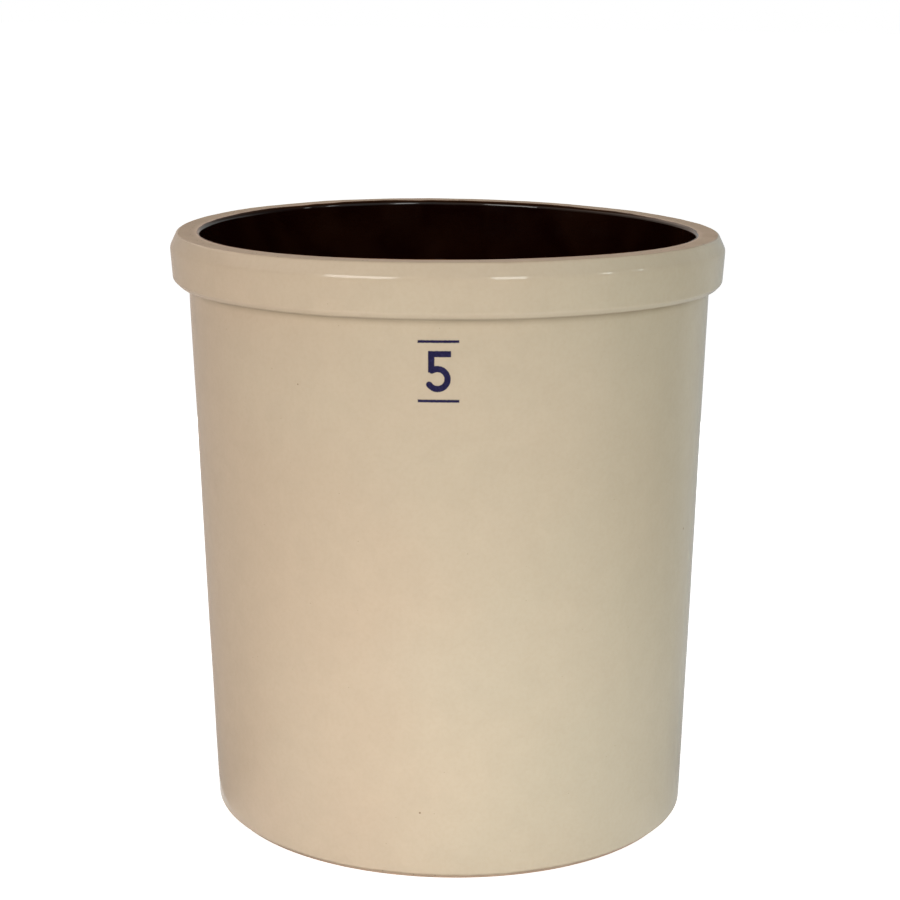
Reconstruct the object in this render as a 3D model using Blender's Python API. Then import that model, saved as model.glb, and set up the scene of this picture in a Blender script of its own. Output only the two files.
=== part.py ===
"""Preserving crock of five US gallons.

One stoneware pot, turned about +Z, with a thick collar at the rim. The clay carries two coats of
glass: a cream glaze outside and a brown liner glaze inside. The flat land on the rim, the foot
ring and the underside are bare clay. Lengths are in metres. The origin is the centre of the foot
ring, on the surface that the crock stands on.
"""

import math

import bmesh
import bpy
from mathutils import Vector

# Whole pot
CROCK_HEIGHT = 0.342
COLLAR_DIAMETER = 0.3178
FOOT_DIAMETER = 0.2784
WALL_THICKNESS = 0.0095
FLOOR_THICKNESS = 0.012
FLOOR_FILLET = 0.012

# Rim: the flat land that a cover rests on, and the bevel inside its mouth
LAND_WIDTH = 0.0123
MOUTH_BEVEL_HEIGHT = 0.0022
MOUTH_BEVEL_RADIUS = 0.002

# Collar: a bevel, a face that draws in a little, a chamfer below it and a nearly level underside
COLLAR_HEIGHT = 0.0293
COLLAR_BEVEL_HEIGHT = 0.008
COLLAR_BEVEL_WIDTH = 0.0037
COLLAR_TAPER = 0.0013
COLLAR_OVERHANG = 0.0095
COLLAR_UNDERSIDE_DROP = 0.0005
COLLAR_CHAMFER_HEIGHT = 0.003
COLLAR_CHAMFER_WIDTH = 0.003
COLLAR_TOP_RADIUS = 0.006
COLLAR_LOWER_RADIUS = 0.002
COLLAR_CHAMFER_RADIUS = 0.0012
NECK_FILLET = 0.0020

# Foot: a bare chamfer, a flat ring and a shallow recess inside the ring
FOOT_CHAMFER_HEIGHT = 0.0038
FOOT_CHAMFER_WIDTH = 0.004
FOOT_EDGE_RADIUS = 0.002
FOOT_RING_WIDTH = 0.022
BASE_RECESS_DEPTH = 0.0015
BASE_RECESS_RADIUS = 0.002

# Glaze coats: thickness, clearance to the clay, and the bare strips along their edges
GLAZE_THICKNESS = 0.0005
GLAZE_CLEARANCE = 0.0003
RIM_BARE_STRIP = 0.0004
FOOT_BARE_STRIP = 0.0008

# Fineness of the turned surfaces
TURNING_STEPS = 64
ARC_STEP = math.radians(15)
LONGEST_TANGENT_SHARE = 0.45
MERGE_DISTANCE = 0.00001
SHARP_ANGLE = math.radians(35)

# Directions in the turning plane, as radius and height
OUTWARD = Vector((1, 0))
UPWARD = Vector((0, 1))
AXIS_POINT = Vector((0, 0))

# Colours and roughness from the photograph
CLAY_COLOUR = (0.50, 0.37, 0.26, 1)
CLAY_ROUGHNESS = 0.8
CREAM_COLOUR = (0.60, 0.495, 0.36, 1)
CREAM_ROUGHNESS = 0.18
BROWN_COLOUR = (0.010, 0.004, 0.002, 1)
BROWN_ROUGHNESS = 0.12


def clear_scene():
    """Start from a scene with no objects."""
    for old in list(bpy.data.objects):
        bpy.data.objects.remove(old, do_unlink=True)


def finish(name, colour, roughness):
    """A plain material for one layer of the crock."""
    material = bpy.data.materials.new(name)
    material.use_nodes = True
    material.diffuse_color = colour
    shader = material.node_tree.nodes["Principled BSDF"]
    shader.inputs["Base Color"].default_value = colour
    shader.inputs["Roughness"].default_value = roughness
    shader.inputs["Metallic"].default_value = 0
    return material


def outside_corners():
    """Corners of the glazed outside, from the land's outer edge down to the foot ring."""
    collar = COLLAR_DIAMETER / 2
    foot = FOOT_DIAMETER / 2
    collar_base = CROCK_HEIGHT - COLLAR_HEIGHT
    return [
        Vector((collar - COLLAR_BEVEL_WIDTH, CROCK_HEIGHT)),
        Vector((collar, CROCK_HEIGHT - COLLAR_BEVEL_HEIGHT)),
        Vector((collar - COLLAR_TAPER, collar_base + COLLAR_CHAMFER_HEIGHT)),
        Vector((collar - COLLAR_TAPER - COLLAR_CHAMFER_WIDTH, collar_base)),
        Vector((collar - COLLAR_OVERHANG, collar_base - COLLAR_UNDERSIDE_DROP)),
        Vector((foot, FOOT_CHAMFER_HEIGHT)),
        Vector((foot - FOOT_CHAMFER_WIDTH, 0)),
    ]


OUTSIDE_RADII = [
    COLLAR_TOP_RADIUS,
    COLLAR_LOWER_RADIUS,
    COLLAR_CHAMFER_RADIUS,
    NECK_FILLET,
    FOOT_EDGE_RADIUS,
]


def inside_corners():
    """Corners of the glazed inside, from the middle of the floor up to the mouth's edge.

    The inner wall runs parallel to the outer wall, one wall thickness inside it.
    """
    neck, foot = outside_corners()[4:6]
    up_the_wall = (neck - foot).normalized()
    wall_foot = foot + Vector((-up_the_wall.y, up_the_wall.x)) * WALL_THICKNESS
    floor_centre = Vector((0, FLOOR_THICKNESS))
    bevel_start = Vector((0, CROCK_HEIGHT - MOUTH_BEVEL_HEIGHT))
    mouth = COLLAR_DIAMETER / 2 - COLLAR_BEVEL_WIDTH - LAND_WIDTH
    return [
        floor_centre,
        crossing(floor_centre, OUTWARD, wall_foot, up_the_wall),
        crossing(bevel_start, OUTWARD, wall_foot, up_the_wall),
        Vector((mouth, CROCK_HEIGHT)),
    ]


INSIDE_RADII = [FLOOR_FILLET, MOUTH_BEVEL_RADIUS]


def base_outline():
    """The bare underside, from the foot ring's inner edge to the axis."""
    ring_inside = FOOT_DIAMETER / 2 - FOOT_CHAMFER_WIDTH - FOOT_RING_WIDTH
    corners = [
        Vector((FOOT_DIAMETER / 2 - FOOT_CHAMFER_WIDTH, 0)),
        Vector((ring_inside, 0)),
        Vector((ring_inside - BASE_RECESS_DEPTH, BASE_RECESS_DEPTH)),
        Vector((0, BASE_RECESS_DEPTH)),
    ]
    radii = [BASE_RECESS_RADIUS, BASE_RECESS_RADIUS]
    return rounded(corners, limited(corners, radii))[1:]


def crossing(point, along, other_point, other_along):
    """Where two lines of the turning plane cross."""
    way = (other_point - point).cross(other_along) / along.cross(other_along)
    return point + along * way


def turns(corners):
    """The turn at each inner corner, positive where it turns left, away from the clay."""
    runs = [(end - start).normalized() for start, end in zip(corners, corners[1:])]
    return [math.atan2(run.cross(after), run.dot(after)) for run, after in zip(runs, runs[1:])]


def limited(corners, radii):
    """Corner radii, kept short enough to leave a straight stretch on both sides."""
    lengths = [(end - start).length for start, end in zip(corners, corners[1:])]
    kept = []
    for radius, turn, before, after in zip(radii, turns(corners), lengths, lengths[1:]):
        longest = LONGEST_TANGENT_SHARE * min(before, after)
        kept.append(min(radius, longest / math.tan(abs(turn) / 2)))
    return kept


def inset(corners, depth, first_end, last_end):
    """An outline moved into the clay by depth, which is on its right-hand side.

    Each end slides along its own line, given as a point and a direction.
    """
    lines = []
    for start, end in zip(corners, corners[1:]):
        along = (end - start).normalized()
        into_clay = Vector((along.y, -along.x))
        lines.append((start + into_clay * depth, along))
    moved = [crossing(*lines[0], *first_end)]
    for line, following in zip(lines, lines[1:]):
        moved.append(crossing(*line, *following))
    moved.append(crossing(*lines[-1], *last_end))
    return moved


def rounded(corners, radii):
    """An outline with an arc at each inner corner, or the bare corner where its radius is gone."""
    points = [corners[0]]
    for before, corner, after, radius, turn in zip(
        corners, corners[1:], corners[2:], radii, turns(corners)
    ):
        if radius <= 0:
            points.append(corner)
            continue
        back = (before - corner).normalized()
        on = (after - corner).normalized()
        start = corner + back * radius * math.tan(abs(turn) / 2)
        centre = corner + (back + on).normalized() * radius / math.cos(turn / 2)
        steps = math.ceil(abs(turn) / ARC_STEP)
        spoke = start - centre
        for step in range(steps + 1):
            angle = turn * step / steps
            cosine = math.cos(angle)
            sine = math.sin(angle)
            swung = Vector((spoke.x * cosine - spoke.y * sine, spoke.x * sine + spoke.y * cosine))
            points.append(centre + swung)
    points.append(corners[-1])
    return points


def skin_outline(corners, radii, depth, first_end, last_end):
    """A finished outline at some depth under its surface, with concentric corners."""
    deeper = []
    for radius, turn in zip(limited(corners, radii), turns(corners)):
        deeper.append(radius + math.copysign(depth, turn))
    return rounded(inset(corners, depth, first_end, last_end), deeper)


def turned(name, outline, material, parent):
    """A closed body: an outline turned a full circle about +Z.

    An outline that starts and ends on the axis closes there, and any other closes on itself.
    """
    mesh = bpy.data.meshes.new(name)
    shape = bmesh.new()
    points = [shape.verts.new((point.x, 0, point.y)) for point in outline]
    edges = [shape.edges.new(pair) for pair in zip(points, points[1:])]
    if outline[0].x > MERGE_DISTANCE:
        edges.append(shape.edges.new((points[-1], points[0])))
    bmesh.ops.spin(
        shape,
        geom=points + edges,
        cent=(0, 0, 0),
        axis=(0, 0, 1),
        dvec=(0, 0, 0),
        angle=math.tau,
        steps=TURNING_STEPS,
        use_merge=True,
    )
    bmesh.ops.remove_doubles(shape, verts=shape.verts, dist=MERGE_DISTANCE)
    bmesh.ops.recalc_face_normals(shape, faces=shape.faces)
    shape.to_mesh(mesh)
    shape.free()
    mesh.shade_smooth()
    mesh.set_sharp_from_angle(angle=SHARP_ANGLE)
    mesh.materials.append(material)
    body = bpy.data.objects.new(name, mesh)
    body.parent = parent
    bpy.context.scene.collection.objects.link(body)
    return body


def level(height):
    """A level line, as a point and a direction."""
    return Vector((0, height)), OUTWARD


def axis():
    """The turning axis, as a point and a direction."""
    return AXIS_POINT, UPWARD


def stoneware_body(parent):
    """The fired clay: floor, wall and collar, held back from both finished surfaces by a coat."""
    depth = GLAZE_THICKNESS + GLAZE_CLEARANCE
    inside = skin_outline(inside_corners(), INSIDE_RADII, depth, axis(), level(CROCK_HEIGHT))
    outside = skin_outline(outside_corners(), OUTSIDE_RADII, depth, level(CROCK_HEIGHT), level(0))
    clay = finish("fired_clay", CLAY_COLOUR, CLAY_ROUGHNESS)
    return turned("stoneware_body", inside + outside + base_outline(), clay, parent)


def outer_glaze(parent):
    """The cream coat, from just under the land, over the collar and down to the bare foot."""
    corners = outside_corners()[:-1]
    radii = OUTSIDE_RADII[:-1]
    top = level(CROCK_HEIGHT - RIM_BARE_STRIP)
    bottom = level(FOOT_CHAMFER_HEIGHT + FOOT_BARE_STRIP)
    surface = skin_outline(corners, radii, 0, top, bottom)
    back = skin_outline(corners, radii, GLAZE_THICKNESS, top, bottom)
    cream = finish("cream_glaze", CREAM_COLOUR, CREAM_ROUGHNESS)
    return turned("outer_glaze", surface + back[::-1], cream, parent)


def inner_glaze(parent):
    """The brown coat that lines the floor, the wall and the bevel of the mouth."""
    corners = inside_corners()
    top = level(CROCK_HEIGHT - RIM_BARE_STRIP)
    surface = skin_outline(corners, INSIDE_RADII, 0, axis(), top)
    back = skin_outline(corners, INSIDE_RADII, GLAZE_THICKNESS, axis(), top)
    brown = finish("brown_glaze", BROWN_COLOUR, BROWN_ROUGHNESS)
    return turned("inner_glaze", surface + back[::-1], brown, parent)


def build_crock():
    """The whole crock, its layers carried by one empty at the origin."""
    crock = bpy.data.objects.new("crock", None)
    bpy.context.scene.collection.objects.link(crock)
    stoneware_body(crock)
    outer_glaze(crock)
    inner_glaze(crock)


clear_scene()
build_crock()
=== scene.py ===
# %% [markdown]
# # A stoneware preserving crock
#
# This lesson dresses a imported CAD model. The model's parts come in as a fixed frame, and every piece
# that we make here takes the place of its CAD part, to within a few millimetres. We look at the real
# crock first: one turned clay pot, a cream glaze outside, a dark brown glaze inside, bare clay on the
# rim and under the foot, and a small blue mark that says how much it holds.

# %% Load the frame
import math

import bmesh
import bpy
import numpy as np
from mathutils import Matrix, Vector, noise


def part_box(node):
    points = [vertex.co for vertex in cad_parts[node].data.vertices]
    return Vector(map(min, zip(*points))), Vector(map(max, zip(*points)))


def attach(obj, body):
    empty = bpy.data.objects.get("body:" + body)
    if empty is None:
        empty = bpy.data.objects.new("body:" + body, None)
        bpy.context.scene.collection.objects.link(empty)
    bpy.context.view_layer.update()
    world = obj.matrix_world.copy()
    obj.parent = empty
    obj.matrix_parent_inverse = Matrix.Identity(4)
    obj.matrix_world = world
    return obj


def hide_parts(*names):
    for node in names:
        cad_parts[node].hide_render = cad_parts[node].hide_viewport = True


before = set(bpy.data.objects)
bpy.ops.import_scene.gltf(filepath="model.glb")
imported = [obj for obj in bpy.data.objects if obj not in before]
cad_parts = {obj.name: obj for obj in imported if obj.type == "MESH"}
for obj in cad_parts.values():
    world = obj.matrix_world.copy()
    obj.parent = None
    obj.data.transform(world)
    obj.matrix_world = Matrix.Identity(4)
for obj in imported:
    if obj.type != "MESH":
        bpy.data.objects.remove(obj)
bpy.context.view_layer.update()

scene = bpy.context.scene
print("CAD nodes:", sorted(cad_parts))

# %% [markdown]
# ## The camera
#
# A product photographer stands well back and looks slightly down into the pot. We could drag a camera
# about until the picture looks right, but measuring is surer: the ellipse of the rim gives the height,
# and how much the sides draw together gives the distance. A long lens keeps the sides nearly straight.

# %% Camera
CAMERA_DISTANCE = 1.2476
CAMERA_HEIGHT = 0.4928
CAMERA_TILT = 0.22217
CAMERA_ROLL = 0.01278
CAMERA_SIDE = 0.0004
LENS = 86.72
SENSOR = 36

camera_data = bpy.data.cameras.new("camera")
camera_data.lens = LENS
camera_data.sensor_width = SENSOR
camera = bpy.data.objects.new("camera", camera_data)
turn = Matrix.Rotation(math.pi / 2 - CAMERA_TILT, 4, "X") @ Matrix.Rotation(CAMERA_ROLL, 4, "Z")
camera.matrix_world = Matrix.Translation((CAMERA_SIDE, -CAMERA_DISTANCE, CAMERA_HEIGHT)) @ turn
scene.collection.objects.link(camera)
scene.camera = camera
scene.view_settings.view_transform = "Standard"
print("camera looks down by", round(math.degrees(CAMERA_TILT), 1), "degrees")

# %% [markdown]
# ## The turned outline
#
# A crock is shaped on a wheel, so one outline tells its whole form. We write the corners of that
# outline as radius and height, and round each corner with an arc. The overall sizes come from the
# frame. The small sizes, such as the bevel of the collar, follow the CAD source. A few edges, such as
# the lip of the mouth, are up to a millimetre finer here. The outline runs from the middle of the floor
# up the inside, over the rim, and down to the base.

# %% Sizes of the pot
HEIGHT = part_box("stoneware_body")[1].z
SHOULDER_CUT = 0.00012
COLLAR_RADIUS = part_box("outer_glaze")[1].x + SHOULDER_CUT
GLAZE = 0.0005
WALL = 0.0095
FLOOR = 0.012
LIP_WIDTH = 0.0012
LIP_HEIGHT = 0.0014
LAND_WIDTH = 0.0123
COLLAR_BEVEL_WIDTH = 0.0037
COLLAR_BEVEL_HEIGHT = 0.008
COLLAR_HEIGHT = 0.0290
COLLAR_TAPER = 0.0013
COLLAR_CHAMFER = 0.003
COLLAR_OVERHANG = 0.0095
UNDERSIDE_DROP = 0.0005
FOOT_RADIUS = 0.1392
FOOT_TOP = 0.0034
FOOT_CUT = 0.0034
RING_WIDTH = 0.022
RECESS = 0.0015

LAND_OUTER = COLLAR_RADIUS - COLLAR_BEVEL_WIDTH
MOUTH = LAND_OUTER - LAND_WIDTH
BEVEL_BASE = HEIGHT - COLLAR_BEVEL_HEIGHT
COLLAR_BASE = HEIGHT - COLLAR_HEIGHT
COLLAR_LOW_RADIUS = COLLAR_RADIUS - COLLAR_TAPER
NECK_HEIGHT = COLLAR_BASE - UNDERSIDE_DROP
NECK_RADIUS = COLLAR_RADIUS - COLLAR_OVERHANG
RING_OUTER = FOOT_RADIUS - FOOT_CUT
RING_INNER = RING_OUTER - RING_WIDTH
print("height", round(HEIGHT, 4), "collar radius", round(COLLAR_RADIUS, 4))

# %% [markdown]
# Each corner is where two straight runs cross. The runs that carry glaze are drawn a coat's thickness
# inside the finished surface, so that the glaze can later be laid on top, as a potter would do it.

# %% Corners of the clay


def crossing(point, along, other_point, other_along):
    """Where two lines of the outline cross."""
    way = (other_point - point).cross(other_along) / along.cross(other_along)
    return point + along * way


def clay_corners():
    """Corners of the bare clay, from the middle of the floor round to the middle of the base."""
    neck = Vector((NECK_RADIUS, NECK_HEIGHT))
    foot = Vector((FOOT_RADIUS, FOOT_TOP))
    up_wall = (neck - foot).normalized()
    wall_foot = foot + Vector((-up_wall.y, up_wall.x)) * WALL
    lip = Vector((MOUTH - LIP_WIDTH, HEIGHT - LIP_HEIGHT))
    floor_edge = crossing(Vector((0, FLOOR)), Vector((1, 0)), wall_foot, lip - wall_foot)
    finished = [Vector((0, FLOOR)), floor_edge, lip, Vector((MOUTH, HEIGHT)),
                Vector((LAND_OUTER, HEIGHT)), Vector((COLLAR_RADIUS, BEVEL_BASE)),
                Vector((COLLAR_LOW_RADIUS, COLLAR_BASE + COLLAR_CHAMFER)),
                Vector((COLLAR_LOW_RADIUS - COLLAR_CHAMFER, COLLAR_BASE)), neck, foot,
                Vector((RING_OUTER, 0)), Vector((RING_INNER, 0)),
                Vector((RING_INNER - RECESS, RECESS)), Vector((0, RECESS))]
    coats = [GLAZE] * 3 + [0] + [GLAZE] * 6 + [0] * 3
    runs = []
    for start, end, coat in zip(finished, finished[1:], coats):
        along = (end - start).normalized()
        runs.append((start + Vector((along.y, -along.x)) * coat, along))
    middle = [crossing(*run, *after) for run, after in zip(runs, runs[1:])]
    return [Vector((0, runs[0][0].y))] + middle + [finished[-1]]


CORNER_RADII = [0.0125, 0.0012, 0.0008, 0.0013, 0.0055, 0.0020, 0.0010, 0.002, 0.0015,
                0.0006, 0.001, 0.002]
print("outline corners:", len(clay_corners()))

# %% [markdown]
# Now the corners get their arcs, and long straight runs get points in between, because a fine mesh
# reflects a lamp as a clean line and a coarse one breaks it up. We also keep the distance walked along
# the outline, which lets us say later "the glaze starts here and stops there".

# %% Rounded outline
ARC_STEP = math.radians(5)
LONGEST_RUN = 0.003


def rounded_outline(corners, radii):
    """Points along the outline, and the distance walked at the middle of each corner."""
    points = [corners[0]]
    middles = []
    for before, corner, after, radius in zip(corners, corners[1:], corners[2:], radii):
        back = (before - corner).normalized()
        on = (after - corner).normalized()
        turn_angle = math.pi - back.angle(on)
        side = 1 if (-back).cross(on) > 0 else -1
        start = corner + back * radius * math.tan(turn_angle / 2)
        centre = corner + (back + on).normalized() * radius / math.cos(turn_angle / 2)
        steps = 2 * max(1, math.ceil(turn_angle / ARC_STEP / 2))
        for step in range(steps + 1):
            spoke = start - centre
            spoke.rotate(Matrix.Rotation(side * turn_angle * step / steps, 2))
            points.append(centre + spoke)
            if step == steps // 2:
                middles.append(len(points) - 1)
    points.append(corners[-1])
    return np.array([tuple(point) for point in points]), middles


def walked(points):
    """The distance walked along the outline at each of its points."""
    steps = np.hypot(*np.diff(points, axis=0).T)
    return np.concatenate([[0], np.cumsum(steps)])


outline, corner_index = rounded_outline(clay_corners(), CORNER_RADII)
distance = walked(outline)
FIRST_RIM_CORNER = 2
FIRST_LOW_CORNER = 6
AT_MOUTH, AT_LAND_EDGE, AT_COLLAR_TOP = distance[corner_index[FIRST_RIM_CORNER:][:3]]
AT_COLLAR_BASE, AT_NECK, AT_FOOT, AT_RING = distance[corner_index[FIRST_LOW_CORNER:][:4]]
print("the outline is", round(distance[-1], 3), "m long and has", len(outline), "points")

# %% [markdown]
# ## Out of true
#
# No hand-finished crock is a perfect turned shape. This one leans a little, its rim is slightly oval
# and rises to the right, and the rim's plane dips at the sides. We could model that with a lattice, but
# a short formula does the same and can be read. Fine waviness goes on top, because it is what makes the
# reflections in a glaze wander instead of standing ruler-straight.

# %% Out of true
LEAN = -0.0043
LEAN_PIVOT_SHARE = 0.57
BELLY = 0.0003
COLLAR_SHIFT = -0.0008
COLLAR_SAG = 0.0001
COLLAR_SLANT = 0.0005
RIM_TILT = 0.0061
RIM_PITCH = -0.0014
RIM_SAG_FRONT = 0.00093
RIM_SAG_ASLANT = 0.0006
OVAL_FRONT_SHARE = -0.0018
OVAL_ASLANT_SHARE = 0.0033
WAVE_HEIGHT = 0.00022
WAVE_LENGTH = 0.055
WAVE_UPRIGHT = 0.6
RIM_CHANGE_START = 0.6
RIM_CHANGE = 0.3
COLLAR_CHANGE_DROP = 0.004
COLLAR_CHANGE = 0.006


def rim_share(height):
    """0 on the lower wall and 1 on the collar, with a smooth change between."""
    way = np.clip((height / HEIGHT - RIM_CHANGE_START) / RIM_CHANGE, 0, 1)
    return way * way * (3 - 2 * way)


def out_of_true(radius, height, angle):
    """Where a point of the turned shape really is. The angle is 0 at the front and grows to the right."""
    rim = rim_share(height)
    collar = np.clip((height - NECK_HEIGHT + COLLAR_CHANGE_DROP) / COLLAR_CHANGE, 0, 1)
    oval = OVAL_FRONT_SHARE * np.cos(2 * angle) + OVAL_ASLANT_SHARE * np.sin(2 * angle)
    sag = RIM_SAG_FRONT * np.cos(2 * angle) + RIM_SAG_ASLANT * np.sin(2 * angle)
    radius = radius * (1 + rim * oval)
    radius = radius + BELLY * np.clip(radius / FOOT_RADIUS, 0, 1) * (1 - (2 * height / HEIGHT - 1) ** 2)
    x = radius * np.sin(angle)
    y = -radius * np.cos(angle)
    low_collar = collar * np.clip((BEVEL_BASE - height) / (BEVEL_BASE - COLLAR_BASE), 0, 1)
    sag = sag + low_collar * (COLLAR_SAG * np.cos(2 * angle) - COLLAR_SLANT * np.sin(angle))
    z = height + rim * (RIM_TILT * x + RIM_PITCH * y + sag)
    x = x + LEAN * (height / HEIGHT - LEAN_PIVOT_SHARE) + COLLAR_SHIFT * collar
    return np.stack([x, y, z], axis=-1)


def waves(points, seed):
    """Gentle hollows and swellings, from -1 to 1, for points in metres."""
    flat = points.reshape(-1, 3) / WAVE_LENGTH
    shift = Vector((seed, 2 * seed, 3 * seed))
    values = [noise.fractal(Vector((x, y, z * WAVE_UPRIGHT)) + shift, 1.0, 2.1, 3) for x, y, z in flat]
    return np.array(values).reshape(points.shape[:-1])


print("the rim rises", round(1000 * RIM_TILT * COLLAR_RADIUS, 2), "mm from the middle to the right")

# %% [markdown]
# ## From outline to mesh
#
# Blender's Screw modifier or the spin operator would turn the outline for us. Here the outline changes
# a little as it goes round, since a glaze line is never quite level, so we fill a grid of points ring
# by ring and join neighbours with four-sided faces. Points that meet on the axis are merged.

# %% Turned mesh helper
AROUND = 360
MERGE = 0.000002
angles = np.linspace(0, math.tau, AROUND, endpoint=False)


def turned_mesh(name, rings, material, **point_values):
    """A closed mesh from rings of points, with one named number at each point for the material."""
    count = len(rings)
    ring = np.arange(count)[:, None] * AROUND
    spot = np.arange(AROUND)[None, :]
    here = ring + spot
    after = ring + (spot + 1) % AROUND
    faces = np.stack([here, after, np.roll(after, -1, axis=0), np.roll(here, -1, axis=0)], axis=-1)
    mesh = bpy.data.meshes.new(name)
    mesh.from_pydata(rings.reshape(-1, 3).tolist(), [], faces.reshape(-1, 4).tolist())
    for label, values in point_values.items():
        layer = mesh.attributes.new(label, "FLOAT", "POINT")
        layer.data.foreach_set("value", np.ascontiguousarray(values, dtype=np.float32).ravel())
    shape = bmesh.new()
    shape.from_mesh(mesh)
    bmesh.ops.remove_doubles(shape, verts=shape.verts, dist=MERGE)
    loose = [face for face in shape.faces if face.calc_area() < MERGE * MERGE]
    bmesh.ops.delete(shape, geom=loose, context="FACES_ONLY")
    bmesh.ops.recalc_face_normals(shape, faces=shape.faces)
    shape.to_mesh(mesh)
    shape.free()
    mesh.shade_smooth()
    mesh.materials.append(material)
    piece = bpy.data.objects.new(name, mesh)
    scene.collection.objects.link(piece)
    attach(piece, "root")
    print(name, "has", len(mesh.polygons), "faces")
    return piece


def on_outline(walk, lift):
    """Radius and height at some distance along the clay's outline, lifted off it by some amount."""
    slope = np.gradient(outline, distance, axis=0)
    radius = np.interp(walk, distance, outline[:, 0])
    height = np.interp(walk, distance, outline[:, 1])
    run_out = np.interp(walk, distance, slope[:, 0])
    run_up = np.interp(walk, distance, slope[:, 1])
    length = np.hypot(run_out, run_up)
    return radius - lift * run_up / length, height + lift * run_out / length


def stations(start, end):
    """Distances along the outline to put rings at: every corner point, and long runs cut up."""
    inner = distance[(distance > start) & (distance < end)]
    stops = np.concatenate([[start], inner, [end]])
    found = [start]
    for before, after in zip(stops, stops[1:]):
        parts = max(1, math.ceil((after - before) / LONGEST_RUN))
        found.extend(before + (after - before) * (np.arange(parts) + 1) / parts)
    return np.array(found)


print("rings from rim to foot:", len(stations(AT_LAND_EDGE, AT_FOOT)))

# %% [markdown]
# ## Node helpers
#
# A material is a small graph of nodes. Writing one out by hand takes many lines, so a few helpers make
# the graph short enough to read: one adds a node, one mixes two colours, one stretches a range, and the
# others do arithmetic, read a number off the mesh, raise the surface or scatter specks.

# %% Node helpers
SPECK_CORE = 0.6
LOTTERY_EDGE = 0.001


def start_material(name):
    """A new material, its node tree, its main shader and a point's own place in metres."""
    material = bpy.data.materials.new(name)
    material.use_nodes = True
    tree = material.node_tree
    place = tree.nodes.new("ShaderNodeTexCoord").outputs["Object"]
    return material, tree, tree.nodes["Principled BSDF"], place


def connect(tree, socket, value):
    """Feeds a socket with another node's output, or sets its number or colour."""
    if isinstance(value, bpy.types.NodeSocket):
        tree.links.new(value, socket)
    else:
        socket.default_value = value


def add_node(tree, kind, **inputs):
    """A node of one kind, with its inputs given by name."""
    made = tree.nodes.new(kind)
    for name, value in inputs.items():
        connect(tree, made.inputs[name.replace("_", " ")], value)
    return made


def mottle(tree, place, per_metre, detail=2.0, roughness=0.5, distortion=0.0):
    """Cloudy noise from 0 to 1 with so many features to the metre."""
    made = add_node(tree, "ShaderNodeTexNoise", Vector=place, Scale=per_metre, Detail=detail,
                    Roughness=roughness, Distortion=distortion)
    return made.outputs["Fac"]


def stretch(tree, value, low, high, to_low=0.0, to_high=1.0):
    """Moves a range of numbers onto another range, and clamps what falls outside."""
    made = add_node(tree, "ShaderNodeMapRange", Value=value)
    for name, number in (("From Min", low), ("From Max", high), ("To Min", to_low), ("To Max", to_high)):
        made.inputs[name].default_value = number
    return made.outputs["Result"]


def blend_colours(tree, share, first, second):
    """The first colour where share is 0 and the second where it is 1."""
    made = tree.nodes.new("ShaderNodeMix")
    made.data_type = "RGBA"
    connect(tree, made.inputs[0], share)
    connect(tree, made.inputs[6], first)
    connect(tree, made.inputs[7], second)
    return made.outputs[2]


def combine(tree, operation, first, second):
    """Arithmetic on two numbers."""
    made = tree.nodes.new("ShaderNodeMath")
    made.operation = operation
    connect(tree, made.inputs[0], first)
    connect(tree, made.inputs[1], second)
    return made.outputs[0]


def combine_vectors(tree, operation, first, second):
    """Arithmetic on two colours or places. The distance between two places is a number."""
    made = tree.nodes.new("ShaderNodeVectorMath")
    made.operation = operation
    connect(tree, made.inputs[0], first)
    connect(tree, made.inputs[1], second)
    return made.outputs["Value" if operation == "DISTANCE" else "Vector"]


def point_value(tree, label):
    """A number that the mesh carries at each point."""
    made = tree.nodes.new("ShaderNodeAttribute")
    made.attribute_name = label
    return made.outputs["Fac"]


def raise_surface(tree, height, depth, after=None):
    """A bump whose height of 1 stands for so many metres."""
    made = add_node(tree, "ShaderNodeBump", Height=height, Distance=depth)
    if after is not None:
        connect(tree, made.inputs["Normal"], after)
    return made.outputs["Normal"]


def specks(tree, place, per_metre, size_share, kept_share):
    """Round specks, 1 inside and 0 outside. Only a share of the cells keeps its speck."""
    cells = add_node(tree, "ShaderNodeTexVoronoi", Vector=place, Scale=per_metre)
    dot = stretch(tree, cells.outputs["Distance"], size_share * SPECK_CORE, size_share, 1, 0)
    lottery = add_node(tree, "ShaderNodeSeparateColor", Color=cells.outputs["Color"]).outputs[0]
    kept = stretch(tree, lottery, 1 - kept_share, 1 - kept_share + LOTTERY_EDGE)
    return combine(tree, "MULTIPLY", dot, kept)


print("node helpers ready")

# %% [markdown]
# ## Bare clay
#
# Where the kiln worker wiped the glaze away, the fired clay shows: a warm grey-brown, matt, with fine
# sand in it and a few iron specks. We build it from three sizes of noise. Wiping a wet sponge round
# the rim leaves soft streaks that follow the turning, so one noise is squeezed along the height.

# %% Clay material
CLAY = (0.51, 0.385, 0.28, 1)
CLAY_DARK = (0.45, 0.335, 0.245, 1)
CLAY_RED = (0.74, 0.56, 0.45, 1)
CLAY_PALE = (0.62, 0.50, 0.37, 1)
CLAY_IRON = (0.06, 0.035, 0.02, 1)


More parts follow.
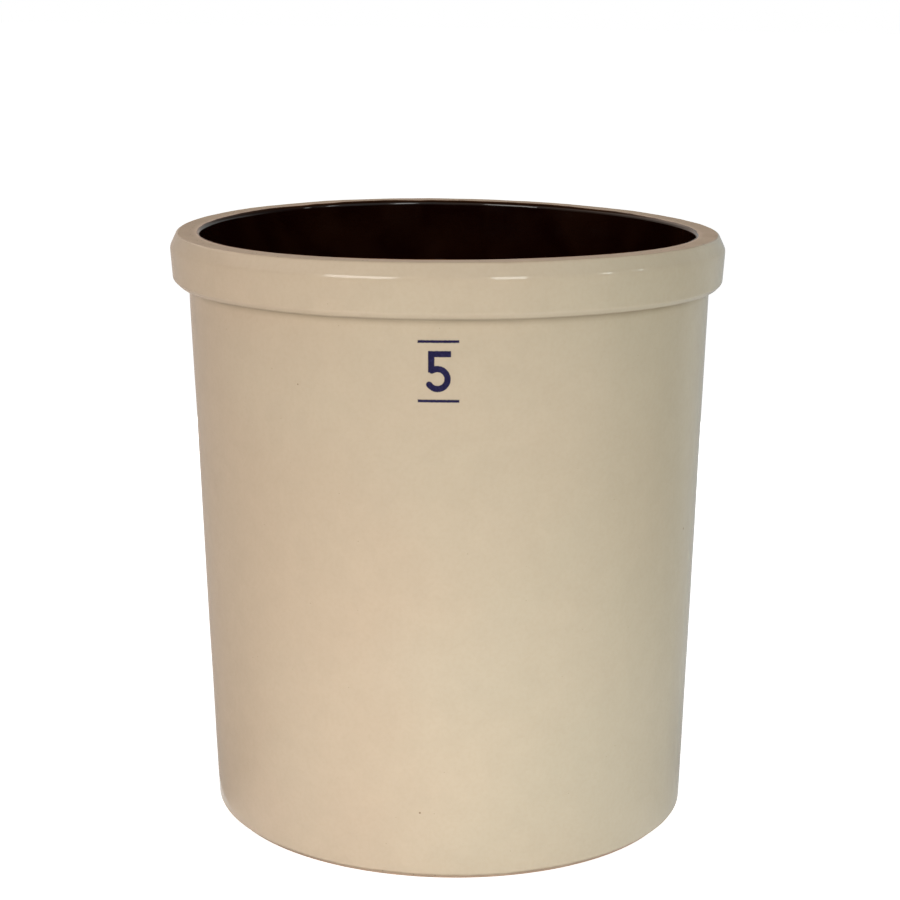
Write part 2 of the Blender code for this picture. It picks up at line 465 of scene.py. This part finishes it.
def clay_material():
    """Fired stoneware without glaze."""
    material, tree, shader, place = start_material("fired clay")
    shader.inputs["Specular IOR Level"].default_value = 0.15
    cloud = mottle(tree, place, 45, detail=4)
    grain = mottle(tree, place, 1400, detail=3, roughness=0.7)
    colour = blend_colours(tree, stretch(tree, cloud, 0.35, 0.7), CLAY, CLAY_DARK)
    colour = blend_colours(tree, stretch(tree, grain, 0.45, 0.75, 0, 0.35), colour, CLAY_PALE)
    flash = point_value(tree, "flash")
    colour = blend_colours(tree, flash, colour, CLAY_RED)
    iron = specks(tree, place, 420, 0.24, 0.16)
    colour = blend_colours(tree, combine(tree, "MULTIPLY", iron, 0.7), colour, CLAY_IRON)
    connect(tree, shader.inputs["Base Color"], colour)
    connect(tree, shader.inputs["Roughness"], stretch(tree, cloud, 0.3, 0.7, 0.72, 0.88))
    bumps = raise_surface(tree, grain, 0.00012)
    bumps = raise_surface(tree, cloud, 0.0003, bumps)
    connect(tree, shader.inputs["Normal"], bumps)
    return material


clay = clay_material()
print("clay has", len(clay.node_tree.nodes), "nodes")

# %% [markdown]
# ## The clay pot
#
# The pot is one closed body. Most of it lies under glaze, and the land of the rim and the foot show.
# The rings stand close together round the corners and at most 3 mm apart on the long runs. Close to a
# glaze line the clay takes a reddish flash from the kiln, and we store that as a number at each point,
# called flash.

# %% Clay pot
FLASH_WIDTH = 0.0009
MOUTH_FLASH = 0.5


def clay_pot():
    """The turned clay body with its floor, wall, collar, bare land and foot."""
    walk = stations(0, distance[-1])
    radius, height = on_outline(walk, 0)
    rings = out_of_true(radius[:, None], height[:, None], angles[None, :])
    near_mouth = np.exp(-np.abs(walk - AT_MOUTH) / FLASH_WIDTH)
    near_ring = np.exp(-np.abs(walk - AT_RING) / FLASH_WIDTH)
    flash = np.maximum(MOUTH_FLASH * near_mouth, near_ring)[:, None] * np.ones(AROUND)
    return turned_mesh("clay_pot", rings, clay, flash=flash)


pot = clay_pot()
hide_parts("stoneware_body")

# %% [markdown]
# ## Cream glaze
#
# The outside is dipped in a glaze that fires to a warm cream. It is glass over clay: glossy, a little
# uneven in thickness, darker where it pools under the collar, with painted shade added there, and
# browner where it runs thin over an edge. The cream drifts from pinkish on the left to greenish on the
# right, with a slow wander round the pot. Fine mottling, a few iron specks and an orange-peel bump finish
# it.

# %% Cream glaze material
CREAM = (0.60, 0.495, 0.362, 1)
CREAM_PINK = (0.600, 0.470, 0.340, 1)
CREAM_GREEN = (0.565, 0.487, 0.358, 1)
# Darker cream for glaze pools and for painted shade in the crease under the collar. The blotches take a
# tenth of it.
CREAM_POOL_AND_SHADE = (0.36, 0.29, 0.20, 1)
CREAM_THIN = (0.47, 0.33, 0.21, 1)
IRON = (0.17, 0.09, 0.04, 1)


def cream_colour(tree, place):
    """The colour of the cream coat at each point."""
    across = add_node(tree, "ShaderNodeSeparateXYZ", Vector=place).outputs["X"]
    wander = mottle(tree, place, 7, detail=2)
    # From left to right across the pot the cream drifts from pinkish to greenish, with a slow wander.
    drift = combine(tree, "ADD", stretch(tree, across, -0.16, 0.16, -0.25, 1.25),
                    stretch(tree, wander, 0.3, 0.7, -0.25, 0.25))
    colour = blend_colours(tree, stretch(tree, drift, 0.0, 0.5), CREAM_PINK, CREAM)
    colour = blend_colours(tree, stretch(tree, drift, 0.5, 1.0), colour, CREAM_GREEN)
    blotch = mottle(tree, place, 75, detail=3, distortion=0.4)
    darker = blend_colours(tree, 0.10, colour, CREAM_POOL_AND_SHADE)
    colour = blend_colours(tree, stretch(tree, blotch, 0.3, 0.7), colour, darker)
    fine = mottle(tree, place, 420, detail=2)
    warmer = blend_colours(tree, 0.10, colour, CREAM_THIN)
    colour = blend_colours(tree, stretch(tree, fine, 0.4, 0.7), colour, warmer)
    # Painted shade and pooling darken the crease under the collar and the chamfer above it.
    colour = blend_colours(tree, point_value(tree, "pooled"), colour, CREAM_POOL_AND_SHADE)
    colour = blend_colours(tree, point_value(tree, "thin"), colour, CREAM_THIN)
    big_iron = specks(tree, place, 75, 0.055, 0.10)
    small_iron = specks(tree, place, 190, 0.07, 0.10)
    iron = combine(tree, "MAXIMUM", big_iron, combine(tree, "MULTIPLY", small_iron, 0.4))
    return blend_colours(tree, combine(tree, "MULTIPLY", iron, 0.75), colour, IRON)


def glossy_surface(tree, shader, place):
    """The gloss and the orange-peel skin that both the coat and the print under it show."""
    cloud = mottle(tree, place, 30, detail=2)
    connect(tree, shader.inputs["Roughness"], stretch(tree, cloud, 0.3, 0.7, 0.07, 0.13))
    peel = mottle(tree, place, 260, detail=1)
    bumps = raise_surface(tree, peel, 0.00002)
    swell = mottle(tree, place, 40, detail=1)
    bumps = raise_surface(tree, swell, 0.00010, bumps)
    connect(tree, shader.inputs["Normal"], bumps)


def cream_material():
    """The cream glaze."""
    material, tree, shader, place = start_material("cream glaze")
    connect(tree, shader.inputs["Base Color"], cream_colour(tree, place))
    glossy_surface(tree, shader, place)
    return material


cream = cream_material()
print("cream glaze has", len(cream.node_tree.nodes), "nodes")

# %% [markdown]
# ## The cream coat
#
# The coat is a thin shell that lies on the clay's outline. At both ends it swells down to nothing in a
# small rounded bead, as glaze does where it stops. The upper end was wiped by hand, so it wanders by a
# few tenths of a millimetre, and we let the ends slide along the outline as we go round.

# %% Coat helper
BEAD = 0.0016
END_WAYS = 0.006
BACK_DEPTH = 0.00012
STEADY_END = 0.01
THIN_WIDTH = 0.0005


def end_stations(length, count=12):
    """Distances from a coat's end, close together at the end itself."""
    return length * (np.arange(count) / count) ** 2


def wobble(seed, amount, lobes=5):
    """A line that wanders up and down by some amount round the pot, and closes on itself."""
    around = np.stack([np.sin(angles) * lobes, np.cos(angles) * lobes, np.full(AROUND, seed)], axis=-1)
    return amount * np.array([noise.fractal(Vector(spot), 0.8, 2.0, 4) for spot in around])


def coat_walk(start, end, start_line, end_line):
    """Distances along the outline for each ring and angle, with both ends wandering."""
    middle = stations(start + END_WAYS, end - END_WAYS)
    walk = np.concatenate([start + end_stations(END_WAYS), middle, (end - end_stations(END_WAYS))[::-1]])
    from_start = np.clip(1 - (walk - start) / END_WAYS, 0, 1)[:, None]
    from_end = np.clip(1 - (end - walk) / END_WAYS, 0, 1)[:, None]
    return walk[:, None] + from_start * start_line + from_end * end_line


def bead_share(way):
    """0 at a coat's end, rising in a quarter round to 1 at the bead's width."""
    left = np.clip(1 - way / BEAD, 0, 1)
    return np.sqrt(1 - left * left)


print("a coat ends in a bead", 1000 * BEAD, "mm wide")

# %% [markdown]
# Glaze gathers in the crease under the collar and runs thin over the shoulder. The pools also stand for
# painted shade: they darken that crease and the collar's lower chamfer. Each pool is given by its
# strength, its place along the outline and its width. The mesh carries both as numbers at each point.

# %% Cream coat
WIPE_LINE = AT_LAND_EDGE - 0.0002
WIPE_WANDER = 0.00035
FOOT_LINE = AT_FOOT + 0.0006
FOOT_WANDER = 0.0004
CREAM_SEED = 3
# Each pool also paints shade: the crease line and the collar's chamfer are darkened for shade as well as
# for pooling.
POOLS_AND_SHADE = [(0.10, AT_NECK, 0.0035), (0.70, AT_NECK + 0.0006, 0.0009), (0.30, AT_COLLAR_BASE - 0.0010, 0.0020)]
SHOULDER_THIN = 0.05
SHOULDER_THIN_WIDTH = 0.0030
END_THIN = 0.5


def cream_coat():
    """The glaze outside, from the land's edge over the collar and down to the foot."""
    walk = coat_walk(WIPE_LINE, FOOT_LINE, wobble(1.5, WIPE_WANDER), wobble(4.5, FOOT_WANDER))
    start_way = walk - walk[0]
    end_way = walk[-1] - walk
    full = GLAZE * np.minimum(bead_share(start_way), bead_share(end_way))
    flat = on_outline(walk, 0)
    wave = waves(out_of_true(*flat, angles[None, :]), CREAM_SEED)
    steady = np.clip(np.minimum(start_way, end_way) / STEADY_END, 0, 1)
    front = out_of_true(*on_outline(walk, full + WAVE_HEIGHT * wave * steady), angles[None, :])
    back = out_of_true(*on_outline(walk, -BACK_DEPTH), angles[None, :])
    rings = np.concatenate([front, back[::-1]])
    pooled = sum(share * np.exp(-((walk - spot) / width) ** 2) for share, spot, width in POOLS_AND_SHADE)
    edge = np.exp(-((walk - AT_COLLAR_TOP) / SHOULDER_THIN_WIDTH) ** 2) * SHOULDER_THIN
    thin = np.maximum(edge, END_THIN * np.exp(-np.minimum(start_way, end_way) / THIN_WIDTH))
    both = [np.concatenate([value, value[::-1]]) for value in (pooled, thin)]
    return turned_mesh("cream_coat", rings, cream, pooled=both[0], thin=both[1])


outside = cream_coat()
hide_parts("outer_glaze")

# %% [markdown]
# ## The capacity mark
#
# A crock says how much it holds, in gallons. The figure is printed in cobalt under the glaze, so it has
# the glaze's own gloss and slightly soft edges. A text object would give a font's figure. We want one
# that lies on a curved wall, so we describe the strokes by how far a spot is from them, lay a fine net
# over the wall, keep the cells under the ink, and pull the net's edge onto the outline of the strokes.

# %% Strokes of the figure
NET = 0.0004
MARK_WIDTH = 0.022
MARK_HEIGHT = 0.033
STROKE = 0.0037
RULE = 0.0019
SOFT_EDGE = 0.00035


def bar(across, up, centre_across, centre_up, width, height):
    """How far each spot is outside a straight bar, below zero inside."""
    out_across = np.abs(across - centre_across) - width / 2
    out_up = np.abs(up - centre_up) - height / 2
    outside = np.hypot(np.maximum(out_across, 0), np.maximum(out_up, 0))
    return outside + np.minimum(np.maximum(out_across, out_up), 0)


def bow(across, up, centre_across, centre_up, radius, middle_angle, half_angle):
    """How far each spot is outside a round stroke, open on one side."""
    across = across - centre_across
    up = up - centre_up
    cos_middle = math.cos(middle_angle)
    sin_middle = math.sin(middle_angle)
    along = across * cos_middle + up * sin_middle
    aside = np.abs(up * cos_middle - across * sin_middle)
    beyond = np.arctan2(aside, along) > half_angle
    end_along = radius * math.cos(half_angle)
    end_aside = radius * math.sin(half_angle)
    on_round = np.abs(np.hypot(along, aside) - radius)
    at_end = np.hypot(along - end_along, aside - end_aside)
    return np.where(beyond, at_end, on_round) - STROKE / 2


def figure_five(across, up):
    """How far each spot is outside the ink of the figure and its two rules."""
    strokes = [bar(across, up, 0.0006, 0.0090, 0.0122, STROKE),
               bar(across, up, -0.0037, 0.0050, STROKE, 0.0117),
               bow(across, up, -0.0005, -0.0040, 0.0052, -0.20, 2.35)]
    rules = [bar(across, up, 0, side * (MARK_HEIGHT - RULE) / 2, MARK_WIDTH, RULE) for side in (-1, 1)]
    return np.minimum.reduce(strokes + rules)


print("strokes are", 1000 * STROKE, "mm wide")

# %% Cobalt print
COBALT = (0.012, 0.010, 0.050, 1)
COBALT_PALE = (0.035, 0.032, 0.105, 1)


def cobalt_material():
    """Cobalt under the cream glaze, fading into the cream at its edges."""
    material, tree, shader, place = start_material("cobalt under glaze")
    uneven = mottle(tree, place, 900, detail=2)
    blue = blend_colours(tree, stretch(tree, uneven, 0.45, 0.75, 0, 0.6), COBALT, COBALT_PALE)
    ink = combine(tree, "ADD", point_value(tree, "ink"), stretch(tree, uneven, 0.3, 0.7, -0.15, 0.15))
    colour = blend_colours(tree, stretch(tree, ink, 0.15, 0.85), cream_colour(tree, place), blue)
    connect(tree, shader.inputs["Base Color"], colour)
    glossy_surface(tree, shader, place)
    return material


cobalt = cobalt_material()
print("cobalt print has", len(cobalt.node_tree.nodes), "nodes")

# %% [markdown]
# The net bends round the wall in the same way as the coat does, 0.04 mm above it, and its sides go
# down into the coat, so the print is a closed body with no gap behind it.

# %% Capacity mark
MARK_ANGLE = -0.0334
MARK_CENTRE_HEIGHT = 0.285
MARK_LIFT = 0.00004


def on_wall(across, up, lift):
    """Points on the wall's coat, at some distance to the right of and above the mark's middle."""
    down_wall = np.linspace(AT_NECK, AT_FOOT, 100)
    middle = np.interp(-MARK_CENTRE_HEIGHT, -on_outline(down_wall, 0)[1], down_wall)
    walk = middle - up
    around = MARK_ANGLE + across / on_outline(walk, GLAZE)[0]
    wave = waves(out_of_true(*on_outline(walk, 0), around), CREAM_SEED)
    return out_of_true(*on_outline(walk, GLAZE + WAVE_HEIGHT * wave + lift), around)


def capacity_mark():
    """The printed figure with a rule above and below it."""
    half_across = round(MARK_WIDTH / 2 / NET) + 2
    half_up = round(MARK_HEIGHT / 2 / NET) + 2
    across, up = np.meshgrid(NET * np.arange(-half_across, half_across + 1),
                             NET * np.arange(-half_up, half_up + 1), indexing="ij")
    outside = figure_five(across, up)
    inside_spot = outside < 0
    kept = inside_spot[:-1, :-1] | inside_spot[1:, :-1] | inside_spot[1:, 1:] | inside_spot[:-1, 1:]
    small = NET / 50
    lean_across = (figure_five(across + small, up) - figure_five(across - small, up)) / (2 * small)
    lean_up = (figure_five(across, up + small) - figure_five(across, up - small)) / (2 * small)
    pull = np.maximum(outside, 0)
    across = across - pull * lean_across
    up = up - pull * lean_up
    ink = np.clip(-outside / SOFT_EDGE, 0, 1)
    points = on_wall(across.ravel(), up.ravel(), MARK_LIFT)
    number = np.arange(across.size).reshape(across.shape)
    corners = np.stack([number[:-1, :-1], number[1:, :-1], number[1:, 1:], number[:-1, 1:]], axis=-1)
    mesh = bpy.data.meshes.new("capacity_mark")
    mesh.from_pydata(points.tolist(), [], corners[kept].tolist())
    layer = mesh.attributes.new("ink", "FLOAT", "POINT")
    layer.data.foreach_set("value", ink.ravel().astype(np.float32))
    shape = bmesh.new()
    shape.from_mesh(mesh)
    bmesh.ops.delete(shape, geom=[spot for spot in shape.verts if not spot.link_faces], context="VERTS")
    top = list(shape.faces)
    made = bmesh.ops.extrude_face_region(shape, geom=top, use_keep_orig=True)["geom"]
    for spot in made:
        if isinstance(spot, bmesh.types.BMVert):
            away = Vector((spot.co.x, spot.co.y, 0)).normalized()
            spot.co -= away * (MARK_LIFT + BACK_DEPTH)
    bmesh.ops.recalc_face_normals(shape, faces=shape.faces)
    shape.to_mesh(mesh)
    shape.free()
    mesh.shade_smooth()
    mesh.materials.append(cobalt)
    piece = bpy.data.objects.new("capacity_mark", mesh)
    scene.collection.objects.link(piece)
    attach(piece, "root")
    print("capacity_mark has", len(mesh.polygons), "faces")
    return piece


mark = capacity_mark()

# %% [markdown]
# ## Brown glaze
#
# The inside is lined with a slip glaze that fires almost black. It is rich in iron, so it turns
# orange-brown wherever it is thin, as on the sharp edge of the mouth. Its gloss is patchy, which we
# get by letting noise drive the roughness, and its surface rolls more than the cream one does.

# %% Brown glaze material
BROWN = (0.0065, 0.0008, 0.0003, 1)
BROWN_WARM = (0.014, 0.004, 0.0012, 1)
BROWN_THIN = (0.26, 0.105, 0.035, 1)


def brown_material():
    """The dark liner glaze."""
    material, tree, shader, place = start_material("brown glaze")
    cloud = mottle(tree, place, 28, detail=4, distortion=0.6)
    fine = mottle(tree, place, 500, detail=2)
    colour = blend_colours(tree, stretch(tree, cloud, 0.4, 0.75), BROWN, BROWN_WARM)
    colour = blend_colours(tree, stretch(tree, fine, 0.6, 0.8, 0, 0.5), colour, BROWN_WARM)
    colour = blend_colours(tree, point_value(tree, "thin"), colour, BROWN_THIN)
    connect(tree, shader.inputs["Base Color"], colour)
    connect(tree, shader.inputs["Roughness"], stretch(tree, cloud, 0.3, 0.75, 0.05, 0.13))
    ripple = raise_surface(tree, mottle(tree, place, 60, detail=2), 0.0002)
    connect(tree, shader.inputs["Normal"], raise_surface(tree, fine, 0.00001, ripple))
    return material


brown = brown_material()
print("brown glaze has", len(brown.node_tree.nodes), "nodes")

# %% [markdown]
# ## The brown coat
#
# The liner is poured in, swilled round and poured out, and then wiped at the mouth. So it starts at
# the middle of the floor, climbs the wall and stops in a fine wandering line at the edge of the land.

# %% Brown coat
MOUTH_LINE = AT_MOUTH + 0.0001
MOUTH_WANDER = 0.0004
BROWN_SEED = 5
BROWN_ROLL = 1.5
MOUTH_THIN = 0.7


def brown_coat():
    """The glaze inside, from the middle of the floor up to the mouth's edge."""
    walk = coat_walk(0.0, MOUTH_LINE, 0 * angles, wobble(7.5, MOUTH_WANDER))
    end_way = walk[-1] - walk
    flat = on_outline(walk, 0)
    wave = waves(out_of_true(*flat, angles[None, :]), BROWN_SEED)
    steady = np.clip(np.minimum(walk, end_way) / STEADY_END, 0, 1)
    lift = GLAZE * bead_share(end_way) + BROWN_ROLL * WAVE_HEIGHT * wave * steady
    front = out_of_true(*on_outline(walk, lift), angles[None, :])
    back = out_of_true(*on_outline(walk, -BACK_DEPTH), angles[None, :])
    thin = MOUTH_THIN * np.exp(-(end_way / THIN_WIDTH))
    rings = np.concatenate([front, back[::-1]])
    return turned_mesh("brown_coat", rings, brown, thin=np.concatenate([thin, thin[::-1]]))


inside = brown_coat()
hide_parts("inner_glaze")

# %% [markdown]
# ## Floor, backdrop and light
#
# The crock stands on a plain white floor. The floor really catches light and shadow, and for rays that
# come from the camera or from a gloss it glows as well, so that it reads as white. The world behind it
# does the same, and gives everything else only a dim soft fill.

# %% Floor and backdrop
FLOOR_SIZE = 30
FLOOR_WHITE = (0.90, 0.90, 0.89, 1)
FLOOR_GLOW = 0.35
TO_CAMERA = 0.80
WHITE = (1, 1, 1, 1)
WORLD_FILL = 0.28


def sees_background(tree):
    """1 for rays from the camera, from a gloss or through glass, and 0 for all others."""
    path = tree.nodes.new("ShaderNodeLightPath")
    seen = combine(tree, "ADD", path.outputs["Is Camera Ray"], path.outputs["Is Glossy Ray"])
    seen = combine(tree, "ADD", seen, path.outputs["Is Transmission Ray"])
    return combine(tree, "MINIMUM", seen, 1.0), path.outputs["Is Camera Ray"]


def studio_floor():
    """A large pale floor that is white to the camera and glows less in a gloss."""
    material, tree, shader, _ = start_material("studio floor")
    shader.inputs["Base Color"].default_value = FLOOR_WHITE
    shader.inputs["Roughness"].default_value = 0.9
    shader.inputs["Specular IOR Level"].default_value = 0.0
    shader.inputs["Emission Color"].default_value = WHITE
    seen, camera_ray = sees_background(tree)
    extra = combine(tree, "MULTIPLY", camera_ray, TO_CAMERA - FLOOR_GLOW)
    glow = combine(tree, "ADD", combine(tree, "MULTIPLY", seen, FLOOR_GLOW), extra)
    connect(tree, shader.inputs["Emission Strength"], glow)
    mesh = bpy.data.meshes.new("studio_floor")
    half = FLOOR_SIZE / 2
    mesh.from_pydata([(-half, -half, 0), (half, -half, 0), (half, half, 0), (-half, half, 0)], [],
                     [(0, 1, 2, 3)])
    mesh.materials.append(material)
    sheet = bpy.data.objects.new("studio_floor", mesh)
    scene.collection.objects.link(sheet)


def studio_world():
    """White to the camera and in reflections, and a dim soft fill for everything else."""
    world = bpy.data.worlds.new("studio")
    world.use_nodes = True
    tree = world.node_tree
    seen, _ = sees_background(tree)
    background = tree.nodes["Background"]
    connect(tree, background.inputs["Strength"], stretch(tree, seen, 0, 1, WORLD_FILL, 1.0))
    background.inputs["Color"].default_value = WHITE
    scene.world = world


studio_floor()
studio_world()
print("floor and backdrop are white to the camera")

# %% [markdown]
# A gloss shows whatever stands round it. If that were white on all sides, the crock's edges would melt
# into the background, so a photographer puts grey sheets, called flags, round it. Ours are two: one
# curves up from the floor all the way round, and one hangs above as a dome. Their grey changes softly
# with the direction and the distance. Only a gloss can see them, and they throw no shadow.

# %% Flags
FLAG_STEPS = 72
FLAG_RISE = 8
BRIGHTEST = 4.0
TINT_REACH = 0.2
WARM_GREY = (1.19, 1.0, 0.87, 1)
COOL_GREY = (0.98, 1.0, 0.97, 1)
DIRECTIONS = [-180, -110, -80, -55, 55, 75, 100, 125, 180]
GREYS = [(0.16, [0.42, 0.40, 0.42, 1.2, 1.2, 0.6, 0.4, 0.4, 0.4]),
         (0.28, [0.44, 0.45, 0.45, 0.7, 0.8, 0.7, 0.5, 0.5, 0.45]),
         (0.60, [0.45, 0.45, 0.25, 0.1, 0.2, 0.0, 0.1, 0.5, 0.4]),
         (1.75, [0.45, 0.45, 0.30, 0.3, 0.4, 0.0, 0.1, 0.5, 0.35]),
         (1.95, [0.70, 0.90, 0.80, 0.6, 0.5, 0.2, 0.1, 0.1, 0.2])]
GREYS_ABOVE = [(2.45, [0.3, 0.8, 0.6, 0.6, 0.4, 0.2, 0.1, 0.1, 0.1]),
               (2.75, [0.02] * len(DIRECTIONS))]


def grey_by_direction(tree, angle, greys):
    """A grey that changes evenly from each of the directions, in degrees from the front, to the next."""
    ramp = tree.nodes.new("ShaderNodeValToRGB")
    connect(tree, ramp.inputs["Fac"], stretch(tree, angle, -math.pi, math.pi))
    stops = ramp.color_ramp.elements
    stops.remove(stops[1])
    for number, (degrees, grey) in enumerate(zip(DIRECTIONS, greys)):
        if number:
            stops.new((degrees + 180) / 360)
        stops[number].position = (degrees + 180) / 360
        stops[number].color = [grey / BRIGHTEST] * 3 + [1]
    return ramp.outputs["Color"]


def flag_material(name, rings):
    """A sheet that only glows, as each ring of greys says at its distance from the crock's middle."""
    material, tree, shader, place = start_material(name)
    shader.inputs["Base Color"].default_value = (0, 0, 0, 1)
    shader.inputs["Specular IOR Level"].default_value = 0.0
    apart = add_node(tree, "ShaderNodeSeparateXYZ", Vector=place)
    angle = combine(tree, "ARCTAN2", apart.outputs["X"], combine(tree, "MULTIPLY", apart.outputs["Y"], -1))
    away = combine_vectors(tree, "DISTANCE", place, (0, 0, 0))
    grey = grey_by_direction(tree, angle, rings[0][1])
    for (near, _), (far, greys) in zip(rings, rings[1:]):
        further = grey_by_direction(tree, angle, greys)
        grey = blend_colours(tree, stretch(tree, away, near, far), grey, further)
    side = stretch(tree, apart.outputs["X"], -TINT_REACH, TINT_REACH)
    tint = blend_colours(tree, side, WARM_GREY, COOL_GREY)
    connect(tree, shader.inputs["Emission Color"], combine_vectors(tree, "MULTIPLY", grey, tint))
    shader.inputs["Emission Strength"].default_value = BRIGHTEST
    return material


def flag(name, near, far, start_height, rise_height, material):
    """A sheet that curves up all the way round, from one distance and height to another."""
    points = []
    for rise in range(FLAG_RISE + 1):
        share = rise / FLAG_RISE * math.pi / 2
        out = near + (far - near) * math.sin(share)
        up = start_height + rise_height * (1 - math.cos(share))
        for step in range(FLAG_STEPS):
            angle = math.tau * step / FLAG_STEPS
            points.append((out * math.sin(angle), -out * math.cos(angle), up))
    faces = []
    for rise in range(FLAG_RISE):
        for step in range(FLAG_STEPS):
            here = rise * FLAG_STEPS + step
            after = rise * FLAG_STEPS + (step + 1) % FLAG_STEPS
            faces.append((here, after, after + FLAG_STEPS, here + FLAG_STEPS))
    mesh = bpy.data.meshes.new(name)
    mesh.from_pydata(points, [], faces)
    mesh.materials.append(material)
    sheet = bpy.data.objects.new(name, mesh)
    sheet.visible_camera = False
    sheet.visible_diffuse = False
    sheet.visible_shadow = False
    sheet.visible_transmission = False
    scene.collection.objects.link(sheet)


flag("flag_round", near=0.1425, far=1.80, start_height=0.001, rise_height=1.6,
     material=flag_material("flag round", GREYS))
flag("flag_above", near=0.01, far=1.81, start_height=3.0, rise_height=-1.4,
     material=flag_material("flag above", GREYS_ABOVE))
print("one flag stands round the crock, and one hangs above it")

# %% [markdown]
# ## Lamps
#
# Soft boxes stand at the front left and right, well above the rim. Each is given as a photographer
# would say it: so many degrees round from the camera, so far away, on a stand so high. One hangs
# overhead, four lie low in front, half hidden by the floor, and light the foot, one stands behind, and
# one at each side tints its border. These only fill, so they are left out of the reflections.

# %% Lamps


def soft_box(name, round_angle, away, stand, width, height, brightness, colour=(1, 1, 1), in_gloss=True):
    """A rectangular lamp that faces the crock. Its brightness is what a mirror would show."""
    data = bpy.data.lights.new(name, "AREA")
    data.shape = "RECTANGLE"
    data.size = width
    data.size_y = height
    data.energy = brightness * width * height * math.pi
    data.color = colour
    lamp = bpy.data.objects.new(name, data)
    turn_round = math.radians(round_angle)
    lamp.location = (away * math.sin(turn_round), -away * math.cos(turn_round), stand)
    way = Vector(lamp.location) - Vector((0, 0, HEIGHT / 2))
    lamp.rotation_euler = way.to_track_quat("Z", "Y").to_euler()
    lamp.visible_glossy = in_gloss
    scene.collection.objects.link(lamp)


soft_box("key_left", -34, 0.92, 0.62, 0.44, 0.32, 5.45, (1, 0.97, 0.93))
soft_box("key_right", 22, 0.92, 0.62, 0.20, 0.34, 5.5, (0.97, 1, 0.98))
soft_box("strip_right", 63, 0.92, 0.62, 0.09, 0.17, 7.0, (0.97, 1, 0.98))
soft_box("strip_far_right", 79, 0.92, 0.62, 0.04, 0.14, 7.0, (0.97, 1, 0.98))
soft_box("overhead", 0, 0, 1.30, 1.20, 1.20, 0.90, in_gloss=False)
soft_box("bounce", -3, 0.60, 0.02, 0.90, 0.24, 1.4, in_gloss=False)
soft_box("foot_left", -60, 0.36, 0.01, 0.40, 0.08, 0.7, in_gloss=False)
soft_box("foot_front", 0, 0.36, 0.01, 0.40, 0.08, 2.8, in_gloss=False)
soft_box("foot_right", 60, 0.36, 0.01, 0.40, 0.08, 1.0, in_gloss=False)
soft_box("back_fill", 180, 1.10, 0.16, 1.20, 0.30, 2.5, in_gloss=False)
soft_box("left_fill", -75, 0.95, 0.25, 0.50, 0.50, 0.36, (1, 0.88, 0.80), in_gloss=False)
soft_box("right_fill", 75, 0.95, 0.25, 0.50, 0.50, 0.95, (0.85, 1, 1.0), in_gloss=False)
